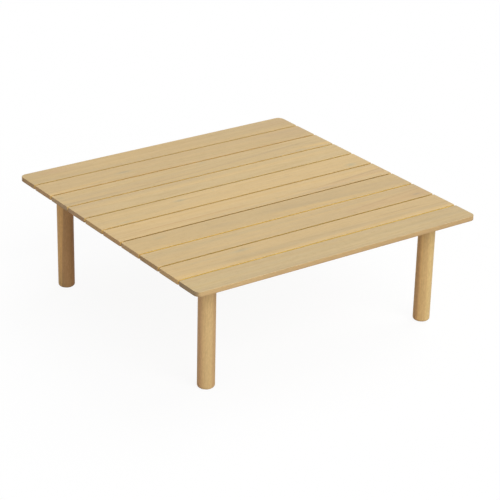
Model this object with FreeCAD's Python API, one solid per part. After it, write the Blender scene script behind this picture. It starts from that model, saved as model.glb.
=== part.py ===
import FreeCAD, Part
import os
from math import sin, tan

# Square outdoor coffee table: slats screwed to cross bearers from below, on four turned legs that unscrew.
# Millimetres, +Z up. The origin is on the floor under the middle of the top, and the slats run along X.

# Slatted top
top_length = 1000.0
table_height = 363.0
slat_count = 10
slat_width = 96.0
edge_slat_width = 93.5      # first and last slat
slat_gap = 5.0
slat_thickness = 14.5
slat_edge_round = 1.0
slat_corner_extra = 2.5     # plan radius of a slat's corner beyond its edge rounding
top_corner_radius = 20.0

# Cross bearers, with ends bevelled to keep them out of sight
bearer_thickness = 20.0
middle_bearer_width = 50.0
bearer_edge_round = 2.0
bearer_setback = 15.0       # end of a bearer inside the edge of the top
bearer_end_height = 6.0
bevel_margin = 3.0          # flat left between the bevel and the outermost screw head

# Legs
leg_diameter = 52.0
leg_inset_along = 101.0
leg_inset_across = 103.0
leg_foot_round = 8.0
leg_top_chamfer = 1.5

# Leg plates, each with a threaded boss that sinks into its bearer
plate_overhang = 7.0        # plate beyond the side of the leg
plate_margin = 2.0          # bearer beyond the side of the plate
plate_thickness = 3.0
plate_corner_radius = 8.0
boss_wall = 3.0
boss_height = 8.0
boss_clearance = 0.5

# Hanger bolts, one half in the leg and the other in the boss
bolt_diameter = 10.0
bolt_depth_in_leg = 50.0
bolt_point_length = 8.0
bolt_end_chamfer = 1.0
bolt_end_setback = 1.0      # end of the bolt below the rim of the boss
bolt_clearance = 0.1

# Foot glides, each held by a stem in the leg
glide_thickness = 2.0
glide_inset = 3.0           # flat of the foot left bare around the glide
glide_rim_height = 0.8      # straight part of the rim, above its rounding
stem_diameter = 8.0
stem_length = 18.0
stem_chamfer = 1.5
stem_clearance = 0.1

# Countersunk screws
slat_screw_diameter = 4.5
slat_screw_head = 9.0
slat_screw_cover = 4.0      # slat left above the point
slat_screw_edge = 13.0      # axis to the side of an end bearer
plate_screw_diameter = 4.0
plate_screw_head = 8.0
plate_screw_cover = 7.0     # bearer left above the point
plate_screw_edge = 9.0      # axis to the sides of the plate
screw_rim = 0.4
screw_point_length = 4.0
screw_clearance = 0.15

# Heights and places that follow from these sizes
slat_bottom = table_height - slat_thickness
bearer_bottom = slat_bottom - bearer_thickness
plate_bottom = bearer_bottom - plate_thickness
slat_widths = [edge_slat_width] + [slat_width] * (slat_count - 2) + [edge_slat_width]
top_width = sum(slat_widths) + slat_gap * (slat_count - 1)
slat_rows = []
slat_side = -top_width / 2
for width in slat_widths:
    slat_rows.append(slat_side + width / 2)
    slat_side += width + slat_gap
leg_x = top_length / 2 - leg_inset_along
leg_y = top_width / 2 - leg_inset_across
leg_places = {
    "front_left": (-leg_x, -leg_y),
    "front_right": (leg_x, -leg_y),
    "back_left": (-leg_x, leg_y),
    "back_right": (leg_x, leg_y),
}
plate_size = leg_diameter + 2 * plate_overhang
end_bearer_width = plate_size + 2 * plate_margin
bearer_places = {"left": -leg_x, "middle": 0.0, "right": leg_x}
slat_screw_reach = end_bearer_width / 2 - slat_screw_edge
slat_screw_columns = {
    "left": (-leg_x - slat_screw_reach, -leg_x + slat_screw_reach),
    "middle": (0.0,),
    "right": (leg_x - slat_screw_reach, leg_x + slat_screw_reach),
}
nodes = {}


def at(x, y, z):
    return FreeCAD.Vector(x, y, z)


def rounded_outline(points):
    """Face inside a ring of (corner, radius) points, with an arc at each corner whose radius isn't zero."""
    stretches = []
    for index, (corner, radius) in enumerate(points):
        back = (points[index - 1][0] - corner).normalize()
        onward = (points[(index + 1) % len(points)][0] - corner).normalize()
        half_angle = back.getAngle(onward) / 2
        trim = radius / tan(half_angle)
        arc_middle = corner + (back + onward).normalize() * (radius / sin(half_angle) - radius)
        stretches.append((corner + back * trim, arc_middle, corner + onward * trim))
    edges = []
    for index, (start, arc_middle, end) in enumerate(stretches):
        previous_end = stretches[index - 1][2]
        edges.append(Part.LineSegment(previous_end, start).toShape())
        if points[index][1]:
            edges.append(Part.Arc(start, arc_middle, end).toShape())
    return Part.Face(Part.Wire(edges))


def board(length, width, z_low, thickness, near_radius, far_radius):
    """Flat board centred on the Z axis, with its own plan radius at its near and far corners."""
    outline = rounded_outline([
        (at(-length / 2, -width / 2, z_low), near_radius),
        (at(length / 2, -width / 2, z_low), near_radius),
        (at(length / 2, width / 2, z_low), far_radius),
        (at(-length / 2, width / 2, z_low), far_radius),
    ])
    return outline.extrude(at(0, 0, thickness))


def turned(profile):
    """Solid turned about the Z axis from a ring of (radius, height, corner radius) points."""
    section = rounded_outline([(at(radius, 0, height), corner) for radius, height, corner in profile])
    return section.revolve(at(0, 0, 0), at(0, 0, 1), 360)


def screw(diameter, head, length, clearance):
    """Countersunk screw that points up from its head at Z = 0, or its hole when there is a clearance."""
    shank = diameter / 2 + clearance
    return turned([
        (0, 0, 0),
        (head / 2, 0, 0),
        (head / 2, screw_rim, 0),
        (shank, screw_rim + head / 2 - shank, 0),
        (shank, length - screw_point_length, 0),
        (0, length + clearance, 0),
    ])


def slat_screws(columns, rows, clearance=0.0):
    length = bearer_thickness + slat_thickness - slat_screw_cover
    shape = screw(slat_screw_diameter, slat_screw_head, length, clearance)
    return [shape.translated(at(x, y, bearer_bottom)) for x in columns for y in rows]


def plate_screws(leg_place, clearance=0.0):
    length = plate_thickness + bearer_thickness - plate_screw_cover
    shape = screw(plate_screw_diameter, plate_screw_head, length, clearance)
    reach = plate_size / 2 - plate_screw_edge
    middle = at(*leg_place, plate_bottom)
    return [shape.translated(middle + at(x, y, 0)) for x in (-reach, reach) for y in (-reach, reach)]


# Slats: boards rounded all along their edges, with wide corners on the outer sides of the first and last
slat_corner_radius = slat_edge_round + slat_corner_extra
for number, (row, width) in enumerate(zip(slat_rows, slat_widths), start=1):
    near_radius = top_corner_radius if number == 1 else slat_corner_radius
    far_radius = top_corner_radius if number == slat_count else slat_corner_radius
    slat = board(top_length, width, slat_bottom, slat_thickness, near_radius, far_radius)
    level_edges = [edge for edge in slat.Edges if edge.BoundBox.ZLength < slat_thickness / 2]
    slat = slat.makeFillet(slat_edge_round, level_edges).translated(at(0, row, 0))
    for columns in slat_screw_columns.values():
        slat = slat.cut(slat_screws(columns, [row], screw_clearance))
    nodes[f"slat_{number:02d}"] = slat

# Bearers: battens with rounded lower edges, sawn to a bevel at both ends and countersunk for the slat screws
bearer_length = top_width - 2 * bearer_setback
bevel_length = edge_slat_width / 2 - bearer_setback - slat_screw_head / 2 - bevel_margin
for side, place in bearer_places.items():
    half_width = (middle_bearer_width if side == "middle" else end_bearer_width) / 2
    section = rounded_outline([
        (at(place - half_width, -bearer_length / 2, slat_bottom), 0),
        (at(place - half_width, -bearer_length / 2, bearer_bottom), bearer_edge_round),
        (at(place + half_width, -bearer_length / 2, bearer_bottom), bearer_edge_round),
        (at(place + half_width, -bearer_length / 2, slat_bottom), 0),
    ])
    bearer = section.extrude(at(0, bearer_length, 0))
    for end in (-bearer_length / 2, bearer_length / 2):
        inward = -bevel_length if end > 0 else bevel_length
        waste = rounded_outline([
            (at(place - half_width, end, slat_bottom - bearer_end_height), 0),
            (at(place - half_width, end, bearer_bottom), 0),
            (at(place - half_width, end + inward, bearer_bottom), 0),
        ])
        bearer = bearer.cut(waste.extrude(at(2 * half_width, 0, 0)))
    columns = slat_screw_columns[side]
    nodes[f"bearer_{side}"] = bearer.cut(slat_screws(columns, slat_rows, screw_clearance))
    nodes[f"slat_screws_{side}"] = Part.makeCompound(slat_screws(columns, slat_rows))

# Leg: turned from round stock, bored for the bolt above and for the stem of the glide below
leg_radius = leg_diameter / 2
bolt_hole_radius = bolt_diameter / 2 + bolt_clearance
bolt_hole_end = plate_bottom - bolt_depth_in_leg - bolt_clearance
stem_hole_radius = stem_diameter / 2 + stem_clearance
stem_hole_end = glide_thickness + stem_length + stem_clearance
leg = turned([
    (stem_hole_radius, glide_thickness, 0),
    (leg_radius, glide_thickness, leg_foot_round),
    (leg_radius, plate_bottom - leg_top_chamfer, 0),
    (leg_radius - leg_top_chamfer, plate_bottom, 0),
    (bolt_hole_radius, plate_bottom, 0),
    (bolt_hole_radius, bolt_hole_end, 0),
    (0, bolt_hole_end, 0),
    (0, stem_hole_end, 0),
    (stem_hole_radius, stem_hole_end, 0),
])

# Hanger bolt: a rod with a point in the leg and a chamfered end in the boss
bolt_radius = bolt_diameter / 2
bolt_low = plate_bottom - bolt_depth_in_leg
bolt_high = bearer_bottom + boss_height - bolt_end_setback
hanger_bolt = turned([
    (0, bolt_low, 0),
    (bolt_radius, bolt_low + bolt_point_length, 0),
    (bolt_radius, bolt_high - bolt_end_chamfer, 0),
    (bolt_radius - bolt_end_chamfer, bolt_high, 0),
    (0, bolt_high, 0),
])

# Foot glide: a flat button with a rounded rim, on a chamfered stem
glide_radius = leg_radius - leg_foot_round - glide_inset
stem_radius = stem_diameter / 2
stem_high = glide_thickness + stem_length
foot_glide = turned([
    (0, 0, 0),
    (glide_radius, 0, glide_thickness - glide_rim_height),
    (glide_radius, glide_thickness, 0),
    (stem_radius, glide_thickness, 0),
    (stem_radius, stem_high - stem_chamfer, 0),
    (stem_radius - stem_chamfer, stem_high, 0),
    (0, stem_high, 0),
])

# Leg plate: a square plate with a round boss on top, bored through for the bolt
boss_radius = bolt_diameter / 2 + boss_wall
boss = Part.makeCylinder(boss_radius, plate_thickness + boss_height, at(0, 0, plate_bottom))
bore = Part.makeCylinder(bolt_hole_radius, plate_thickness + boss_height, at(0, 0, plate_bottom))
square = board(plate_size, plate_size, plate_bottom, plate_thickness,
               plate_corner_radius, plate_corner_radius)
leg_plate = square.fuse(boss).cut(bore).removeSplitter()
recess_depth = boss_height + boss_clearance
boss_recess = Part.makeCylinder(boss_radius + boss_clearance, recess_depth, at(0, 0, bearer_bottom))

# A leg with its fittings under each end of the outer bearers
for name, leg_place in leg_places.items():
    place = at(*leg_place, 0)
    bearer = "bearer_left" if leg_place[0] < 0 else "bearer_right"
    screw_holes = plate_screws(leg_place, screw_clearance)
    nodes[f"leg_{name}"] = leg.translated(place)
    nodes[f"hanger_bolt_{name}"] = hanger_bolt.translated(place)
    nodes[f"foot_glide_{name}"] = foot_glide.translated(place)
    nodes[f"leg_plate_{name}"] = leg_plate.translated(place).cut(screw_holes)
    nodes[f"plate_screws_{name}"] = Part.makeCompound(plate_screws(leg_place))
    nodes[bearer] = nodes[bearer].cut(screw_holes + [boss_recess.translated(place)])

os.makedirs("parts", exist_ok=True)
for name, shape in nodes.items():
    shape.exportStep(f"parts/{name}.step")
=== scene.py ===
import math
from collections import namedtuple
import bpy
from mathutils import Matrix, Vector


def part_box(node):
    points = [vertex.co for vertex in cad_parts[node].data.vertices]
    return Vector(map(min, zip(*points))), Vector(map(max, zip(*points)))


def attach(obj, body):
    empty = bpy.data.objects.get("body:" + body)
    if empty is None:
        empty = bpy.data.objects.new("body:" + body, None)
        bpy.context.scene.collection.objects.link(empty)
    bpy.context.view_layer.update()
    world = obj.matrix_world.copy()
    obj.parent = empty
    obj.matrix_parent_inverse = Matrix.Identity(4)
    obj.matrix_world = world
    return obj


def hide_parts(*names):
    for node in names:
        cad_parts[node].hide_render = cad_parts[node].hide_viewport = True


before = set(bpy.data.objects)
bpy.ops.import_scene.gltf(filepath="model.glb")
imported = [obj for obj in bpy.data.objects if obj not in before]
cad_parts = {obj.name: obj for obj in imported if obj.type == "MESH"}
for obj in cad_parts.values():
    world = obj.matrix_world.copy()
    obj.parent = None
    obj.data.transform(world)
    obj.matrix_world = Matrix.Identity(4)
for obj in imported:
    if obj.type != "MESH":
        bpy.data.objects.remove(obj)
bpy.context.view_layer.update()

# Slats
# Ten boards of pale, lightly oiled hardwood, planed on all faces, with eased edges and sanded ends.
# They lie side by side with open gaps and are screwed down from below, so no fixing shows on top.


class Wire:
    """One value in a material. Arithmetic on it adds Math nodes to the same material."""

    def __init__(self, tree, socket=None):
        self.tree = tree
        self.socket = socket

    def node(self, kind, settings, values, output=0):
        """One output of a new node, whose settings are made before its sockets are filled or linked."""
        made = self.tree.nodes.new("ShaderNode" + kind)
        for name, setting in settings.items():
            setattr(made, name, setting)
        for name, value in values.items():
            if isinstance(value, Wire):
                value.feed(made.inputs[name])
            else:
                made.inputs[name].default_value = value
        return Wire(self.tree, made.outputs[output])

    def feed(self, socket):
        self.tree.links.new(self.socket, socket)

    def math(self, operation, *values):
        return self.node("Math", {"operation": operation}, dict(enumerate((self, *values))))

    def __add__(self, other):
        return self.math("ADD", other)

    __radd__ = __add__

    def __sub__(self, other):
        return self.math("SUBTRACT", other)

    def __rsub__(self, other):
        return self * -1 + other

    def __mul__(self, other):
        return self.math("MULTIPLY", other)

    __rmul__ = __mul__

    def __truediv__(self, other):
        return self.math("DIVIDE", other)

    def __pow__(self, other):
        return self.math("POWER", other)

    def __abs__(self):
        return self.math("ABSOLUTE")

    def larger(self, *others):
        """The largest of this value and the others."""
        most = self
        for other in others:
            most = most.math("MAXIMUM", other)
        return most

    def parts(self):
        """The three numbers of a vector."""
        return [self.node("SeparateXYZ", {}, {0: self}, output=axis) for axis in range(3)]

    def step(self, low, high):
        """0 below low, 1 above high and a soft step between; low may be the larger."""
        return self.node("MapRange", {"interpolation_type": "SMOOTHSTEP"}, {0: self, 1: low, 2: high})

    def hill(self, width):
        """1 where the value is zero, falling away softly on both sides."""
        return (self * self * (-1 / width ** 2)).math("EXPONENT")

    def noise(self, point, detail=2.0, roughness=0.5):
        """Cloudy values about 0.5 at a point given by three wires."""
        point = self.node("CombineXYZ", {}, dict(enumerate(point)))
        values = {"Vector": point, "Scale": 1.0, "Detail": detail, "Roughness": roughness}
        return self.node("TexNoise", {}, values)

    def colour(self, first, second):
        """A colour that goes from the first to the second as the value goes from 0 to 1."""
        return self.node("Mix", {"data_type": "RGBA"}, {0: self, 6: first, 7: second}, output=2)

    def stain(self, colour, tint):
        """The colour with a stain on it, as strong as the value is; a tint of 1, 1, 1 changes nothing."""
        settings = {"data_type": "RGBA", "blend_type": "MULTIPLY"}
        return self.node("Mix", settings, {0: self, 6: colour, 7: (*tint, 1.0)}, output=2)

    def bump(self, strength, distance):
        """The surface's normal, with the value as its height."""
        return self.node("Bump", {}, {"Strength": strength, "Distance": distance, "Height": self})


def new_finish(name, constants):
    """A new material, its shader with the sockets that stay the same all over, and its Object coordinates."""
    material = bpy.data.materials.new(name)
    material.use_nodes = True
    tree = material.node_tree
    shader = tree.nodes["Principled BSDF"]
    for socket, value in constants.items():
        shader.inputs[socket].default_value = value
    return material, shader, Wire(tree).node("TexCoord", {}, {}, output="Object")


def dye(red, green, blue):
    """A colour as a screen shows it, 0 to 255, turned to light."""
    shown = [value / 255 for value in (red, green, blue)]
    light = [value / 12.92 if value <= 0.04045 else ((value + 0.055) / 1.055) ** 2.4 for value in shown]
    return (*light, 1.0)


def shade(colour, tint):
    """The colour times a tint."""
    return (*(part * share for part, share in zip(colour, tint)), 1.0)


# Places are in metres from the middle of the piece. A streak with no start or no end runs out past that end.
Streak = namedtuple("Streak", "across half_width tint start end slope curve", defaults=(None, None, 0, 0))
Knot = namedtuple("Knot", "along across length width depth")
Mottle = namedtuple("Mottle", "waves_along waves_across depth")
# A paler zone beyond some distance from the pith: outer wood, and on the front right leg also painted light.
SapwoodAndPaintedLight = namedtuple("SapwoodAndPaintedLight", "from_pith half_blend tint")

# A face becomes an end or an edge as it turns to that side, from the first of these shares to the second.
turning, square = 0.5, 0.9

# What the wood's traits do to its tone, and how strongly.
duller, brighter = (0.965, 0.975, 1.0), (1.035, 1.025, 1.0)
cloud_depth = (0.09, 0.10, 0.115)
late_wood_tint = (0.72, 0.66, 0.58)
fibre_tint, fibre_depth = (0.66, 0.62, 0.56), 0.75
pore_tint, pore_depth = (0.52, 0.44, 0.36), 0.36
knot_tint, knot_reach = (0.84, 0.945, 1.10), 0.9
heart_tint, heart_reach, heart_depth = (0.80, 0.76, 0.78), 0.35, 0.5
# Painted light on the upper part of the tips of slat edges, and painted shade on their lower part.
upper_tip_painted_light, lower_tip_painted_shade = (1.02, 1.06, 1.06), (0.86, 0.82, 0.86)
underside_tint = (0.86, 0.82, 0.79)
worn_tint, wear = (0.90, 0.87, 0.84), 0.5

# How the figure runs: sway and fade in metres, and the rest as shares of a knot or a ring.
ring_sway, streak_sway, streak_fade = 0.014, 0.006, 0.07
bend_reach, bend_share = 1.6, 0.75
ring_unevenness, late_wood_sharpness = 1.1, 2.5


def grain(u, v, w, seed, waves_along, waves_across, detail=2.0, roughness=0.5):
    """Noise drawn out along the fibres, with so many waves to the metre along and across them."""
    return u.noise((u * waves_along + seed, v * waves_across, w * waves_across), detail, roughness)


def streak_mask(streak, u, v):
    """1 along the middle of a streak, fading to its sides and at the ends that it has."""
    mask = (v - streak.across - u * (u * streak.curve + streak.slope)).hill(streak.half_width)
    if streak.start is not None:
        mask = mask * u.step(streak.start - streak_fade, streak.start + streak_fade)
    if streak.end is not None:
        mask = mask * u.step(streak.end + streak_fade, streak.end - streak_fade)
    return mask


def edge_colour(colour, u, w, faces, end_face, edge_tints_and_gap_shading):
    """Tints the front and back edge of a board, each along its length and at its two tips; on the walls of
    the gaps these tints are painted light and shade, and each tip is lighter above with painted light and
    darker below with painted shade.
    Edges and ends are darker near the underside, and the arrises are worn."""
    tip_start, tip_full = 0.480, 0.496
    face_u, face_v, face_w = faces
    near_end = abs(u).step(tip_start, tip_full)
    # On the walls of the gaps these tints are painted light and shade: bright for a lit gap, dark for a
    # shaded one.
    for turn, (length_tint_and_gap_shading, tip_tint_and_gap_shading) in zip((-1, 1), edge_tints_and_gap_shading):
        edge = (face_v * turn).step(turning, square)
        colour = (edge * (1 - near_end)).stain(colour, length_tint_and_gap_shading)
        colour = (edge * near_end).stain(colour, tip_tint_and_gap_shading)
    either_edge = abs(face_v).step(turning, square)
    tip = either_edge * near_end
    # Painted light at the top of each tip and painted shade lower down.
    colour = (tip * w.step(0.001, 0.006)).stain(colour, upper_tip_painted_light)
    colour = (tip * w.step(0.0, -0.006)).stain(colour, lower_tip_painted_shade)
    colour = ((either_edge + end_face) * w.step(-0.002, -0.007)).stain(colour, underside_tint)
    arris = abs(face_u).larger(abs(face_v), abs(face_w)).step(0.97, 0.80)
    return (arris * wear).stain(colour, worn_tint)


def wood(name, middle, axes, seed, tone, pith, ring_width, taper, ring_depth, end_tint, side_tint_and_gap_shading=(1, 1, 1),
         tip_tint_and_gap_shading=(1.10, 0.98, 0.62), back_tints=None, mottle=Mottle(16.0, 110.0, 0.4), streaks=(), knots=(),
         sapwood_and_painted_light=None, turned=False):
    """Hardwood with its fibres along the first axis and its rings round the pith, given across and in depth.
    A board has tinted edges, painted light and shade where they face the gaps; a turned piece has none,
    and may have a paler outer zone some distance from the pith, which on the front right leg is partly
    painted light."""
    material, shader, place = new_finish(name, {"Specular IOR Level": 0.3})
    parts = place.parts()
    u, v, w = (parts[axis] - middle[axis] for axis in axes)
    facing = place.node("NewGeometry", {}, {}, output="Normal").parts()
    faces = [facing[axis] for axis in axes]

    # The fibres wander along the piece and bend round its knots.
    wander = grain(u, v, w, seed, waves_along=1.7, waves_across=11.0, detail=1.0) - 0.5
    swayed = v + wander * streak_sway
    bent = v + wander * ring_sway
    spots = []
    for knot in knots:
        away_along = (u - knot.along) / knot.length
        away_across = (v - knot.across) / knot.width
        near = (away_along * away_along + away_across * away_across) ** 0.5
        bent = bent - away_across * near.hill(bend_reach) * (bend_share * knot.width)
        spots.append((near, knot.depth))

    # The rings lie round the pith and vary in width, with narrow dark late wood.
    side = bent - pith[0]
    rise = w - pith[1]
    reach = (side * side + rise * rise) ** 0.5 + u * taper
    swell = grain(u, bent, w, seed, waves_along=2.3, waves_across=60.0) - 0.5
    phase = (reach + swell * (ring_unevenness * ring_width)) * (2 * math.pi / ring_width)
    rings = (phase.math("SINE") * 0.5 + 0.5) ** late_wood_sharpness

    # Broad bands and mottling change the tone, and fine fibre and open pores lie over them.
    band = u.noise((u * 0.9 + seed * 3.1, bent * 38.0 + seed, w * 38.0), detail=3.0, roughness=0.55)
    cloud = grain(u, bent, w, seed, mottle.waves_along, mottle.waves_across, detail=3.0, roughness=0.6)
    fibre = grain(u, bent, w, seed, waves_along=9.0, waves_across=620.0, detail=3.0, roughness=0.6)
    pores = grain(u, bent, w, seed, waves_along=34.0, waves_across=1250.0, detail=1.0).step(0.60, 0.74)

    colour = band.step(0.30, 0.70).colour(shade(tone, duller), shade(tone, brighter))
    colour = cloud.step(0.35, 0.65).stain(colour, [1 - mottle.depth * share for share in cloud_depth])
    for streak in streaks:
        colour = streak_mask(streak, u, swayed).stain(colour, streak.tint)
    if sapwood_and_painted_light:
        inner = sapwood_and_painted_light.from_pith - sapwood_and_painted_light.half_blend
        outer = sapwood_and_painted_light.from_pith + sapwood_and_painted_light.half_blend
        colour = reach.step(inner, outer).stain(colour, sapwood_and_painted_light.tint)
    colour = (rings * ring_depth).stain(colour, late_wood_tint)
    colour = (abs(fibre - 0.5) * fibre_depth).stain(colour, fibre_tint)
    colour = (pores * pore_depth).stain(colour, pore_tint)
    for near, depth in spots:
        colour = (near.hill(knot_reach) * depth).stain(colour, knot_tint)
        colour = (near.hill(heart_reach) * (heart_depth * depth)).stain(colour, heart_tint)
    end_face = abs(faces[0]).step(turning, square)
    colour = end_face.stain(colour, end_tint)
    if not turned:
        front_tints_and_gap_shading = (side_tint_and_gap_shading, tip_tint_and_gap_shading)
        colour = edge_colour(colour, u, w, faces, end_face, (front_tints_and_gap_shading, back_tints or front_tints_and_gap_shading))
    colour.feed(shader.inputs["Base Color"])
    (0.46 + 0.16 * fibre + 0.10 * rings + 0.10 * pores + 0.12 * end_face).feed(shader.inputs["Roughness"])
    height = fibre * 0.5 - pores * 0.6 - rings * 0.25
    height.bump(strength=0.22, distance=0.0006).feed(shader.inputs["Normal"])
    return material


def dress(node, material):
    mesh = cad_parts[node].data
    mesh.materials.clear()
    mesh.materials.append(material)


def middle_of(node):
    low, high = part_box(node)
    return (low + high) / 2


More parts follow.
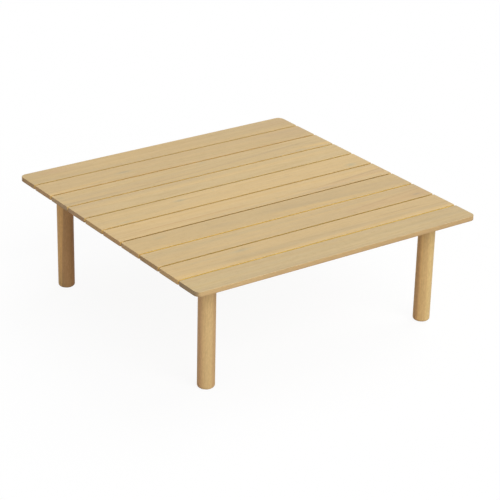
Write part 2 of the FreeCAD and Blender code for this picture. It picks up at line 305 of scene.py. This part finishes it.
# The figure of each board, from the front of the table to the back.
honey = (1.07, 1.047, 0.982)
pale_honey = (1.03, 1.02, 0.98)
smoke = (0.925, 0.94, 0.995)
faint_smoke = (0.955, 0.955, 1.0)
deep_smoke = (0.905, 0.92, 0.955)
dark_line = (0.83, 0.80, 0.80)
brown_line = (0.86, 0.73, 0.63)
rose = (1.0, 0.96, 0.955)
outer_edge = (0.98, 0.87, 0.77)
outer_tip = (1.02, 0.92, 0.80)
# An inner slat's side and tip tints colour the wall of the gap in front of it with painted light and shade;
# the outer edge tints are the wood's own.
slat_figures = {
    "slat_01": dict(
        tone=dye(201, 177, 132), pith=(0.010, -0.085), taper=0.004, ring_depth=0.09,
        side_tint_and_gap_shading=outer_edge, end_tint=(0.665, 0.61, 0.645), tip_tint_and_gap_shading=outer_tip,
        mottle=Mottle(42.0, 240.0, 0.55),
        streaks=[
            Streak(0.030, 0.010, (0.965, 0.96, 0.975)),
            Streak(-0.038, 0.006, (0.97, 0.965, 0.98)),
            Streak(-0.012, 0.030, (1.03, 1.03, 1.0), end=-0.38),
            Streak(0.0, 0.080, (0.955, 0.95, 0.945), start=0.32),
            Streak(-0.048, 0.005, (1.08, 1.09, 1.09), end=-0.28),
            Streak(-0.048, 0.005, (0.95, 0.945, 0.94), start=0.08, end=0.28),
        ],
    ),
    "slat_02": dict(
        tone=dye(207, 179, 130), pith=(-0.030, -0.060), taper=0.010, ring_depth=0.12,
        side_tint_and_gap_shading=(1.28, 1.22, 0.58), end_tint=(0.935, 0.85, 0.84),
        streaks=[
            Streak(-0.016, 0.013, deep_smoke, start=-0.33, end=0.14, slope=0.010),
            Streak(-0.017, 0.009, smoke, start=0.10),
            Streak(-0.038, 0.006, honey),
            Streak(-0.032, 0.010, honey, end=-0.42),
            Streak(0.006, 0.0025, dark_line, start=0.25, end=0.40),
            Streak(0.021, 0.004, (0.94, 0.965, 1.02), start=-0.42, end=-0.30),
            Streak(0.010, 0.030, (1.03, 1.02, 1.015), end=-0.46),
            Streak(-0.020, 0.030, (0.97, 0.97, 0.96), start=0.40),
        ],
        knots=[
            Knot(-0.240, 0.0225, 0.036, 0.010, 0.8),
        ],
    ),
    "slat_03": dict(
        tone=dye(204, 177, 130), pith=(0.050, -0.040), taper=0.006, ring_depth=0.12,
        side_tint_and_gap_shading=(0.76, 0.66, 0.24), end_tint=(0.78, 0.675, 0.63),
        streaks=[
            Streak(0.022, 0.018, (0.965, 0.985, 1.0), end=0.0),
            Streak(-0.021, 0.008, pale_honey, end=0.0),
            Streak(0.009, 0.004, pale_honey, start=-0.2, end=0.35),
            Streak(-0.022, 0.017, rose, start=0.2),
            Streak(-0.0385, 0.0025, (0.91, 0.87, 0.87), start=0.2, slope=0.100),
            Streak(0.024, 0.020, (0.965, 0.97, 0.985), start=0.1),
            Streak(-0.010, 0.022, (1.04, 1.035, 1.03), start=-0.32, end=-0.05),
            Streak(0.0, 0.080, (0.955, 0.945, 0.955), start=0.43),
            Streak(-0.0215, 0.005, (0.83, 0.81, 0.86), start=0.449, end=0.463),
        ],
        knots=[
            Knot(0.456, -0.0225, 0.018, 0.008, 0.8),
        ],
    ),
    "slat_04": dict(
        tone=dye(203, 176, 128), pith=(-0.060, -0.030), taper=0.014, ring_depth=0.13,
        side_tint_and_gap_shading=(1.28, 1.16, 0.50), end_tint=(0.91, 0.805, 0.805),
        streaks=[
            Streak(0.0055, 0.011, (0.935, 0.945, 0.97), start=-0.06, end=0.36, slope=-0.084),
            Streak(0.014, 0.024, (0.955, 0.96, 0.985), start=0.0, end=0.31),
            Streak(-0.0166, 0.007, honey, start=-0.02, end=0.40, slope=-0.051),
            Streak(0.011, 0.009, (0.87, 0.86, 0.93), start=0.36, end=0.39),
            Streak(0.010, 0.008, (1.07, 1.04, 1.0), start=0.29, end=0.32),
            Streak(-0.012, 0.014, faint_smoke, start=0.42),
            Streak(-0.036, 0.006, honey, end=-0.35),
            Streak(-0.0015, 0.010, smoke, start=-0.22, end=-0.14),
            Streak(-0.030, 0.012, (1.04, 1.025, 0.995), start=0.0, end=0.30),
        ],
        knots=[
            Knot(-0.390, 0.0185, 0.022, 0.010, 0.5),
            Knot(-0.220, 0.0265, 0.012, 0.006, 0.3),
        ],
    ),
    "slat_05": dict(
        tone=dye(212, 183, 132), pith=(0.000, -0.120), taper=0.002, ring_depth=0.13,
        side_tint_and_gap_shading=(0.51, 0.42, 0.18), end_tint=(0.87, 0.735, 0.68),
        streaks=[
            Streak(-0.0165, 0.0020, brown_line, start=-0.42, end=-0.06),
            Streak(-0.038, 0.006, smoke, start=-0.2),
            Streak(-0.056, 0.012, (0.945, 0.935, 1.0), start=0.20, slope=0.094),
            Streak(-0.044, 0.003, dark_line, start=0.25, slope=0.094),
            Streak(0.0286, 0.008, deep_smoke, start=0.15, end=0.25, slope=-0.257),
            Streak(-0.010, 0.060, (0.965, 0.965, 0.985), end=-0.42),
            Streak(0.0, 0.080, (0.97, 0.975, 1.0), start=0.46),
        ],
        knots=[
            Knot(0.073, -0.0225, 0.008, 0.006, 0.4),
            Knot(0.358, -0.0325, 0.008, 0.005, 0.6),
        ],
    ),
    "slat_06": dict(
        tone=dye(210, 182, 132), pith=(0.040, -0.070), taper=0.008, ring_depth=0.10,
        side_tint_and_gap_shading=(0.86, 0.72, 0.30), end_tint=(0.92, 0.795, 0.695),
        streaks=[
            Streak(0.0145, 0.0035, dark_line, start=-0.16, end=-0.11),
            Streak(-0.019, 0.004, smoke, start=0.46),
            Streak(-0.010, 0.080, (0.955, 0.965, 0.985), end=-0.20),
            Streak(0.0, 0.030, (1.02, 1.01, 1.0), start=-0.04, end=0.42),
        ],
        knots=[
            Knot(-0.188, 0.0165, 0.022, 0.009, 1.0),
            Knot(0.435, -0.0255, 0.019, 0.012, 1.0),
            Knot(-0.410, -0.036, 0.034, 0.006, 0.7),
            Knot(-0.058, 0.030, 0.004, 0.006, 0.5),
            Knot(0.195, 0.002, 0.016, 0.005, 0.3),
        ],
    ),
    "slat_07": dict(
        tone=dye(206, 180, 132), pith=(-0.020, -0.055), taper=0.012, ring_depth=0.11,
        side_tint_and_gap_shading=(0.83, 0.72, 0.30), end_tint=(0.805, 0.685, 0.68),
        streaks=[
            Streak(0.036, 0.009, (0.935, 0.935, 0.98), end=0.0),
            Streak(-0.022, 0.013, (0.955, 0.965, 1.0), end=-0.05),
            Streak(0.010, 0.015, (1.035, 1.02, 1.0), end=0.45),
            Streak(0.0, 0.080, (0.97, 0.965, 0.985), end=-0.42),
        ],
        knots=[
            Knot(0.455, 0.040, 0.012, 0.005, 0.6),
            Knot(-0.034, 0.021, 0.007, 0.005, 0.5),
        ],
    ),
    "slat_08": dict(
        tone=dye(203, 177, 130), pith=(0.030, -0.045), taper=0.013, ring_depth=0.12,
        side_tint_and_gap_shading=(1.04, 0.89, 0.41), end_tint=(0.855, 0.78, 0.82),
        streaks=[
            Streak(-0.0185, 0.004, (0.89, 0.88, 0.92), end=0.42, slope=0.055, curve=0.055),
            Streak(0.0798, 0.004, smoke, start=0.40, slope=-0.190),
            Streak(-0.014, 0.014, (0.95, 0.95, 0.985), start=-0.47, end=-0.10, slope=-0.020),
            Streak(0.022, 0.010, pale_honey, start=-0.42, end=-0.02),
            Streak(-0.033, 0.008, (1.012, 1.012, 0.98), start=-0.20, end=0.24),
            Streak(0.0195, 0.006, (1.12, 1.09, 0.97), start=0.41, slope=-0.108),
            Streak(-0.036, 0.010, (0.955, 0.96, 0.98), end=-0.32),
            Streak(-0.030, 0.012, (1.055, 1.035, 1.01), start=0.32),
        ],
        knots=[
            Knot(0.040, 0.036, 0.018, 0.006, 0.6),
            Knot(-0.482, 0.020, 0.012, 0.010, 0.5),
            Knot(0.372, -0.038, 0.018, 0.005, 0.6),
        ],
    ),
    "slat_09": dict(
        tone=dye(202, 175, 128), pith=(-0.045, -0.060), taper=0.009, ring_depth=0.11,
        side_tint_and_gap_shading=(0.86, 0.70, 0.32), end_tint=(0.855, 0.725, 0.695),
        streaks=[
            Streak(0.003, 0.006, (1.10, 1.06, 0.99), end=-0.28, slope=0.0875),
            Streak(-0.006, 0.003, (0.95, 0.96, 0.965), start=-0.2, end=0.45, slope=0.005, curve=-0.12),
            Streak(-0.014, 0.006, (1.015, 1.02, 0.99), slope=0.005, curve=-0.12),
            Streak(0.022, 0.018, faint_smoke, start=0.30),
            Streak(-0.020, 0.050, (0.955, 0.955, 0.985), start=0.37),
        ],
        knots=[
            Knot(-0.212, -0.001, 0.030, 0.009, 0.8),
        ],
    ),
    "slat_10": dict(
        tone=dye(199, 173, 127), pith=(0.020, -0.090), taper=0.005, ring_depth=0.09,
        side_tint_and_gap_shading=(0.91, 0.82, 0.45), end_tint=(0.83, 0.7, 0.665),
        back_tints=(outer_edge, outer_tip),
        streaks=[
            Streak(0.006, 0.030, (1.035, 1.02, 1.0), start=-0.24, end=0.16),
            Streak(0.020, 0.018, (0.96, 0.91, 0.935), start=-0.44, end=-0.34),
            Streak(0.010, 0.022, (0.945, 0.93, 0.965), start=0.35),
            Streak(-0.038, 0.006, (1.05, 1.03, 0.97), start=-0.02),
            Streak(0.020, 0.040, (0.925, 0.935, 0.93), end=-0.42),
            Streak(-0.010, 0.030, (1.03, 1.03, 1.015), start=-0.30, end=-0.10),
        ],
    ),
}
fibres_along_x = (0, 1, 2)
for number, (slat, figure) in enumerate(slat_figures.items()):
    finish = wood(slat + "_wood", middle_of(slat), fibres_along_x, seed=number * 7.3, ring_width=0.0046,
                  **figure)
    dress(slat, finish)

# Bearers
# Three battens of the same hardwood across the underside, planed but not sanded as finely as the slats.
# The slats are screwed to them from below, and the outer two carry the legs.
fibres_along_y = (1, 0, 2)
for number, bearer in enumerate(("bearer_left", "bearer_middle", "bearer_right")):
    finish = wood(bearer + "_wood", middle_of(bearer), fibres_along_y, seed=90 + number * 5.1,
                  tone=dye(191, 162, 114), pith=(0.02, 0.06), ring_width=0.0052, taper=0.008, ring_depth=0.2,
                  end_tint=(0.80, 0.73, 0.72))
    dress(bearer, finish)

# Slat screws
# Countersunk stainless steel wood screws with six-lobed sockets, driven through the bearers into the slats.
# Each is headed from wire, with a rolled thread and a plain neck under the head.


def pick(piece, faces):
    """Goes to edit mode with only the faces selected that pass the test."""
    bpy.ops.object.mode_set(mode="EDIT")
    bpy.ops.mesh.select_mode(type="FACE")
    bpy.ops.mesh.select_all(action="DESELECT")
    bpy.ops.object.mode_set(mode="OBJECT")
    for face in piece.data.polygons:
        face.select = faces(face)
    bpy.ops.object.mode_set(mode="EDIT")


def top_face(face):
    return face.normal.z > 0.9


def bottom_face(face):
    return face.normal.z < -0.9


def draw_out(rise, share=1):
    """Extrudes the picked face upwards and scales its far end about the axis."""
    bpy.ops.mesh.extrude_region_move(TRANSFORM_OT_translate={"value": (0, 0, rise)})
    bpy.ops.transform.resize(value=(share, share, 1), center_override=(0, 0, 0))


def thread(crest, depth, pitch, low, turns):
    """A closed helical ridge of three-cornered section, its inner corners sunk in the rod that carries it."""
    bpy.ops.object.select_all(action="DESELECT")
    bpy.ops.mesh.primitive_circle_add(vertices=3, radius=depth, location=(crest - depth, 0, low),
                                      rotation=(math.pi / 2, math.pi / 2, 0))
    ridge = bpy.context.object
    bpy.ops.object.transform_apply(location=True, rotation=True, scale=True)
    winding = ridge.modifiers.new("winding", "SCREW")
    winding.angle = 2 * math.pi * turns
    winding.screw_offset = pitch * turns
    winding.steps = winding.render_steps = 12 * turns
    bpy.ops.object.modifier_apply(modifier="winding")
    bpy.ops.object.mode_set(mode="EDIT")
    bpy.ops.mesh.select_all(action="SELECT")
    bpy.ops.mesh.fill_holes(sides=0)
    bpy.ops.mesh.select_all(action="SELECT")
    bpy.ops.mesh.normals_make_consistent(inside=False)
    bpy.ops.object.mode_set(mode="OBJECT")
    return ridge


def join(pieces, name):
    bpy.ops.object.select_all(action="DESELECT")
    for piece in pieces:
        piece.select_set(True)
    bpy.context.view_layer.objects.active = pieces[0]
    if len(pieces) > 1:
        bpy.ops.object.join()
    pieces[0].name = name
    return pieces[0]


def cut_socket(screw, head):
    """Sinks a six-lobed socket, a little narrower at its floor, into the flat of a screw's head."""
    radius = 0.24 * head
    depth = 0.22 * head
    lobes, waist, draft = 6, 0.74, 0.9
    pick(screw, bottom_face)
    bpy.ops.mesh.inset(thickness=head / 2 - radius)
    bpy.ops.mesh.select_mode(type="VERT")
    bpy.ops.object.mode_set(mode="OBJECT")
    for vertex in screw.data.vertices:
        turn = math.atan2(vertex.co.y, vertex.co.x)
        on_socket = vertex.co.z < 1e-6 and vertex.co.xy.length < 1.1 * radius
        vertex.select = on_socket and math.cos(lobes * turn) < -0.5
    bpy.ops.object.mode_set(mode="EDIT")
    bpy.ops.transform.resize(value=(waist, waist, 1), center_override=(0, 0, 0))
    pick(screw, lambda face: bottom_face(face) and face.center.xy.length < 1e-5)
    draw_out(depth, draft)
    bpy.ops.object.mode_set(mode="OBJECT")


def countersunk_screw(diameter, head, length, pitch):
    """One screw that points up from its head at Z = 0."""
    rim, shoulder, point = 0.0004, 0.0008, 0.004
    cone = (head - diameter) / 2
    neck = 0.3 * length
    core = 0.72 * diameter / 2
    blunt = 0.06
    bpy.ops.object.select_all(action="DESELECT")
    bpy.ops.mesh.primitive_cylinder_add(vertices=24, radius=head / 2, depth=rim, location=(0, 0, rim / 2))
    screw = bpy.context.object
    bpy.ops.object.transform_apply(location=True)
    pick(screw, top_face)
    draw_out(cone, diameter / head)
    draw_out(neck - cone)
    draw_out(shoulder, core / (diameter / 2))
    draw_out(length - neck - shoulder - rim - point)
    draw_out(point, blunt)
    bpy.ops.object.mode_set(mode="OBJECT")
    cut_socket(screw, head)
    turns = int((length - neck - point) / pitch)
    ridge = thread(diameter / 2, diameter / 2 - core, pitch, length - point - turns * pitch, turns)
    screw = join([screw, ridge], "screw")
    bpy.ops.object.shade_smooth_by_angle(angle=math.radians(35))
    return screw


def copies(piece, places, name):
    """A copy of the piece at each place, all joined to one set whose places are in its mesh."""
    made = []
    for place in places:
        bpy.ops.object.select_all(action="DESELECT")
        piece.select_set(True)
        bpy.context.view_layer.objects.active = piece
        bpy.ops.object.duplicate()
        bpy.context.object.location = place
        bpy.ops.object.transform_apply(location=True)
        made.append(bpy.context.object)
    return join(made, name)


def fit(piece, node, material):
    piece.data.materials.clear()
    piece.data.materials.append(material)
    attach(piece, "root")
    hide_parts(node)


def metal(name, tone, stain, seed, smooth):
    """Bare or plated steel with fine scratches, cloudy stains and a sheen that varies with them."""
    material, shader, place = new_finish(name, {"Metallic": 1.0})
    x, y, z = place.parts()
    cloud = x.noise((x * 90.0 + seed, y * 90.0, z * 90.0), detail=4.0, roughness=0.6)
    grit = x.noise((x * 2600.0 + seed, y * 2600.0, z * 2600.0), detail=2.0)
    scratch = x.noise((x * 240.0 + seed, y * 3800.0, z * 900.0), detail=2.0, roughness=0.65)
    colour = cloud.step(0.30, 0.75).colour(tone, shade(tone, stain))
    colour = scratch.step(0.58, 0.72).stain(colour, (0.82, 0.82, 0.83))
    colour.feed(shader.inputs["Base Color"])
    (smooth + 0.18 * cloud + 0.12 * scratch + 0.08 * grit).feed(shader.inputs["Roughness"])
    height = scratch * 0.6 + grit * 0.4
    height.bump(strength=0.15, distance=0.0001).feed(shader.inputs["Normal"])
    return material


stainless = metal("stainless_steel", (0.64, 0.63, 0.61, 1.0), (0.86, 0.85, 0.83), seed=3.0, smooth=0.22)
slat_rows = [middle_of(slat).y for slat in slat_figures]
slat_screw_head = 0.009
slat_screw = countersunk_screw(diameter=0.0045, head=slat_screw_head, length=0.0305, pitch=0.0022)
for side, column_count in (("left", 2), ("middle", 1), ("right", 2)):
    node = "slat_screws_" + side
    low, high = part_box(node)
    columns = (low.x + slat_screw_head / 2, high.x - slat_screw_head / 2)[:column_count]
    places = [(x, y, low.z) for x in columns for y in slat_rows]
    fit(copies(slat_screw, places, "slat_screw_set_" + side), node, stainless)
bpy.data.objects.remove(slat_screw)

# Leg plates
# Square steel plates with a threaded boss, zinc plated, under both ends of the two outer bearers.
# The boss sinks into the bearer, and four countersunk screws hold the plate.
corners = ("front_left", "front_right", "back_left", "back_right")
zinc = metal("zinc_plate", (0.60, 0.62, 0.65, 1.0), (1.0, 0.95, 0.84), seed=11.0, smooth=0.26)
plate_screw_head = 0.008
plate_screw = countersunk_screw(diameter=0.004, head=plate_screw_head, length=0.016, pitch=0.0018)
for corner in corners:
    dress("leg_plate_" + corner, zinc)
    node = "plate_screws_" + corner
    low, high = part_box(node)
    columns = (low.x + plate_screw_head / 2, high.x - plate_screw_head / 2)
    rows = (low.y + plate_screw_head / 2, high.y - plate_screw_head / 2)
    places = [(x, y, low.z) for x in columns for y in rows]
    fit(copies(plate_screw, places, "plate_screw_set_" + corner), node, stainless)
bpy.data.objects.remove(plate_screw)

# Hanger bolts
# Zinc plated rods with a coarse wood thread below, which stays in the leg, and a fine machine thread above.
# They turn into the bosses of the leg plates, so the legs come off without tools.
bolt_low, bolt_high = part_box("hanger_bolt_front_left")
crest = 0.005
tip_radius = 0.0006
wood_core = 6.3 * tip_radius
shank_radius = 1.3 * wood_core
machine_core = 0.83 * shank_radius
rim = 0.0004
point = 0.008
wood_length = 0.030
shoulder = 0.0012
shank_length = 0.0085
neck = 0.0008
chamfer = 0.001
machine_low = rim + point + wood_length + shoulder + shank_length + neck
machine_length = bolt_high.z - bolt_low.z - machine_low - chamfer
bpy.ops.object.select_all(action="DESELECT")
bpy.ops.mesh.primitive_cylinder_add(vertices=32, radius=tip_radius, depth=rim, location=(0, 0, rim / 2))
rod = bpy.context.object
bpy.ops.object.transform_apply(location=True)
pick(rod, top_face)
draw_out(point, wood_core / tip_radius)
draw_out(wood_length)
draw_out(shoulder, shank_radius / wood_core)
draw_out(shank_length)
draw_out(neck, machine_core / shank_radius)
draw_out(machine_length)
draw_out(chamfer, 0.9)
bpy.ops.object.mode_set(mode="OBJECT")
wood_thread = thread(crest, depth=0.0013, pitch=0.0040, low=0.0075, turns=7)
machine_thread = thread(crest, depth=0.0010, pitch=0.0015, low=machine_low + 0.0003, turns=6)
hanger_bolt = join([rod, wood_thread, machine_thread], "hanger_bolt")
bpy.ops.object.shade_smooth_by_angle(angle=math.radians(35))
for corner in corners:
    node = "hanger_bolt_" + corner
    low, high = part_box(node)
    foot = ((low.x + high.x) / 2, (low.y + high.y) / 2, low.z)
    fit(copies(hanger_bolt, [foot], "bolt_" + corner), node, zinc)
bpy.data.objects.remove(hanger_bolt)

# Legs
# Round legs turned from solid stock of the same wood, with a rounded foot.
# Each unscrews from the plate above it, and their colours differ as the sticks they were turned from did;
# the back left leg also has painted shade in its darker tone and foot and painted light at its top,
# and the front right leg has painted light on its right side.
leg_figures = {
    "leg_front_left": dict(
        tone=dye(208, 173, 120), pith=(0.0285, -0.0204), taper=0.004,
        sapwood_and_painted_light=SapwoodAndPaintedLight(0.0250, 0.002, (1.09, 1.12, 1.13)),
        streaks=[
            Streak(-0.0265, 0.003, (0.95, 0.83, 0.86)),
            Streak(0.0100, 0.007, (0.955, 0.91, 0.945)),
            Streak(-0.0215, 0.004, (1.04, 1.0, 0.97)),
            Streak(0.0, 0.014, (0.968, 0.978, 0.99), end=0.06),
        ],
    ),
    "leg_front_right": dict(
        tone=dye(206, 171, 116), pith=(-0.0285, 0.0204), taper=0.004,
        # Painted light: the pale zone on the leg's right side stands partly for outer wood and partly for the
        # light of the right lamp.
        sapwood_and_painted_light=SapwoodAndPaintedLight(0.0490, 0.003, (1.12, 1.20, 1.22)),
        streaks=[
            Streak(-0.0270, 0.0015, (0.90, 0.82, 0.87)),
            Streak(-0.0245, 0.003, (1.14, 1.11, 1.07)),
            Streak(-0.002, 0.018, (0.95, 0.957, 0.968), end=-0.06),
            Streak(-0.024, 0.005, (1.06, 1.06, 1.04), end=-0.10),
        ],
    ),
    "leg_back_left": dict(
        # Painted shade: this leg's tone is darker for the shade of the table top over it.
        tone=dye(188, 145, 98), pith=(0.0285, -0.0204), taper=0.020,
        sapwood_and_painted_light=SapwoodAndPaintedLight(0.0478, 0.0028, (1.53, 1.58, 1.38)),
        streaks=[
            Streak(0.012, 0.008, (0.94, 0.86, 0.78)),
            # Painted light: the top of the leg, in the shade under the table top, is made lighter.
            Streak(0.010, 0.022, (1.28, 1.31, 1.36), start=0.065),
            Streak(-0.026, 0.008, (0.90, 0.94, 0.98), end=-0.11),
            # Painted shade: the foot of the leg is made darker.
            Streak(0.0, 0.080, (0.85, 0.90, 0.93), end=-0.165),
        ],
    ),
    "leg_back_right": dict(tone=dye(199, 167, 115), pith=(-0.020, -0.036), taper=0.004),
}
fibres_along_z = (2, 0, 1)
for number, (leg, figure) in enumerate(leg_figures.items()):
    finish = wood(leg + "_wood", middle_of(leg), fibres_along_z, seed=40 + number * 6.7, ring_width=0.0050,
                  ring_depth=0.09, end_tint=(0.85, 0.78, 0.74), mottle=Mottle(90.0, 240.0, 1.1),
                  turned=True, **figure)
    dress(leg, finish)

# Foot glides
# Black nylon buttons, moulded with a fine matt grain, each pressed into the foot of a leg by its stem.
# The face that slides over the floor is scuffed paler than the rim.
nylon, shader, place = new_finish("black_nylon", {"Specular IOR Level": 0.45})
x, y, z = place.parts()
pebble = x.noise((x * 1400.0, y * 1400.0, z * 1400.0), detail=3.0)
rubbed = x.noise((x * 260.0, y * 1900.0, z * 40.0), detail=3.0, roughness=0.7).step(0.52, 0.66)
scuff = rubbed * z.step(0.0006, 0.0)
scuff.colour((0.012, 0.012, 0.013, 1.0), (0.075, 0.073, 0.070, 1.0)).feed(shader.inputs["Base Color"])
(0.42 + 0.16 * pebble + 0.2 * scuff).feed(shader.inputs["Roughness"])
pebble.bump(strength=0.25, distance=0.0002).feed(shader.inputs["Normal"])
for corner in corners:
    dress("foot_glide_" + corner, nylon)

# Studio
# A plain pale floor and a pale sky, which look white to the camera while the floor keeps the table's shadow.
# Four soft lamps: a wide key from the front, a weaker one from the right, a little from the left and above.


def seen_rays(wire):
    """1 for rays from the camera, also by way of a mirror or glass, and 0 for those that carry light."""
    kinds = ("Camera", "Glossy", "Transmission")
    seen, mirrored, through = (wire.node("LightPath", {}, {}, output=f"Is {kind} Ray") for kind in kinds)
    return seen.larger(mirrored, through)


floor_drop = 0.0003
white_share = 0.92
bpy.ops.object.select_all(action="DESELECT")
bpy.ops.mesh.primitive_plane_add(size=60, location=(0, 0, -floor_drop))
floor = bpy.context.object
floor.name = "floor"
paper, shader, place = new_finish("floor_paper", {"Roughness": 1.0, "Specular IOR Level": 0.0})
seen = seen_rays(place)
seen.colour((0.68, 0.68, 0.68, 1.0), (0.98, 0.98, 0.98, 1.0)).feed(shader.inputs["Base Color"])
shadowed = Wire(paper.node_tree, shader.outputs[0])
white = seen.node("Emission", {}, {})
surface = seen.node("MixShader", {}, {0: seen * white_share, 1: shadowed, 2: white})
surface.feed(paper.node_tree.nodes["Material Output"].inputs["Surface"])
floor.data.materials.append(paper)

sky = bpy.data.worlds.new("studio")
bpy.context.scene.world = sky
sky.use_nodes = True
background = sky.node_tree.nodes["Background"]
background.inputs["Color"].default_value = (1, 1, 1, 1)
background.inputs["Strength"].default_value = 0.18
dim = Wire(sky.node_tree, background.outputs[0])
white = dim.node("Background", {}, {"Color": (1, 1, 1, 1)})
surface = dim.node("MixShader", {}, {0: seen_rays(dim), 1: dim, 2: white})
surface.feed(sky.node_tree.nodes["World Output"].inputs["Surface"])

for name, turn, height, spread, strength in (
    ("key_lamp", 268, 38, 50, 2.14),
    ("side_lamp", 12, 47, 45, 1.20),
    ("left_lamp", 210, 25, 45, 0.25),
    ("top_lamp", 20, 75, 60, 0.35),
):
    bpy.ops.object.light_add(type="SUN", rotation=(0, math.radians(90 - height), math.radians(turn)))
    lamp = bpy.context.object
    lamp.name = name
    lamp.data.angle = math.radians(spread)
    lamp.data.energy = strength

camera_place = (-2.93057, -4.12609, 2.47021)
camera_turn = [math.radians(angle) for angle in (65.64189, -1.2498, -35.08582)]
bpy.ops.object.camera_add(location=camera_place, rotation=camera_turn)
camera = bpy.context.object
camera.data.lens = 129.4421
camera.data.sensor_width = 36
bpy.context.scene.camera = camera
bpy.context.scene.view_settings.view_transform = "Standard"
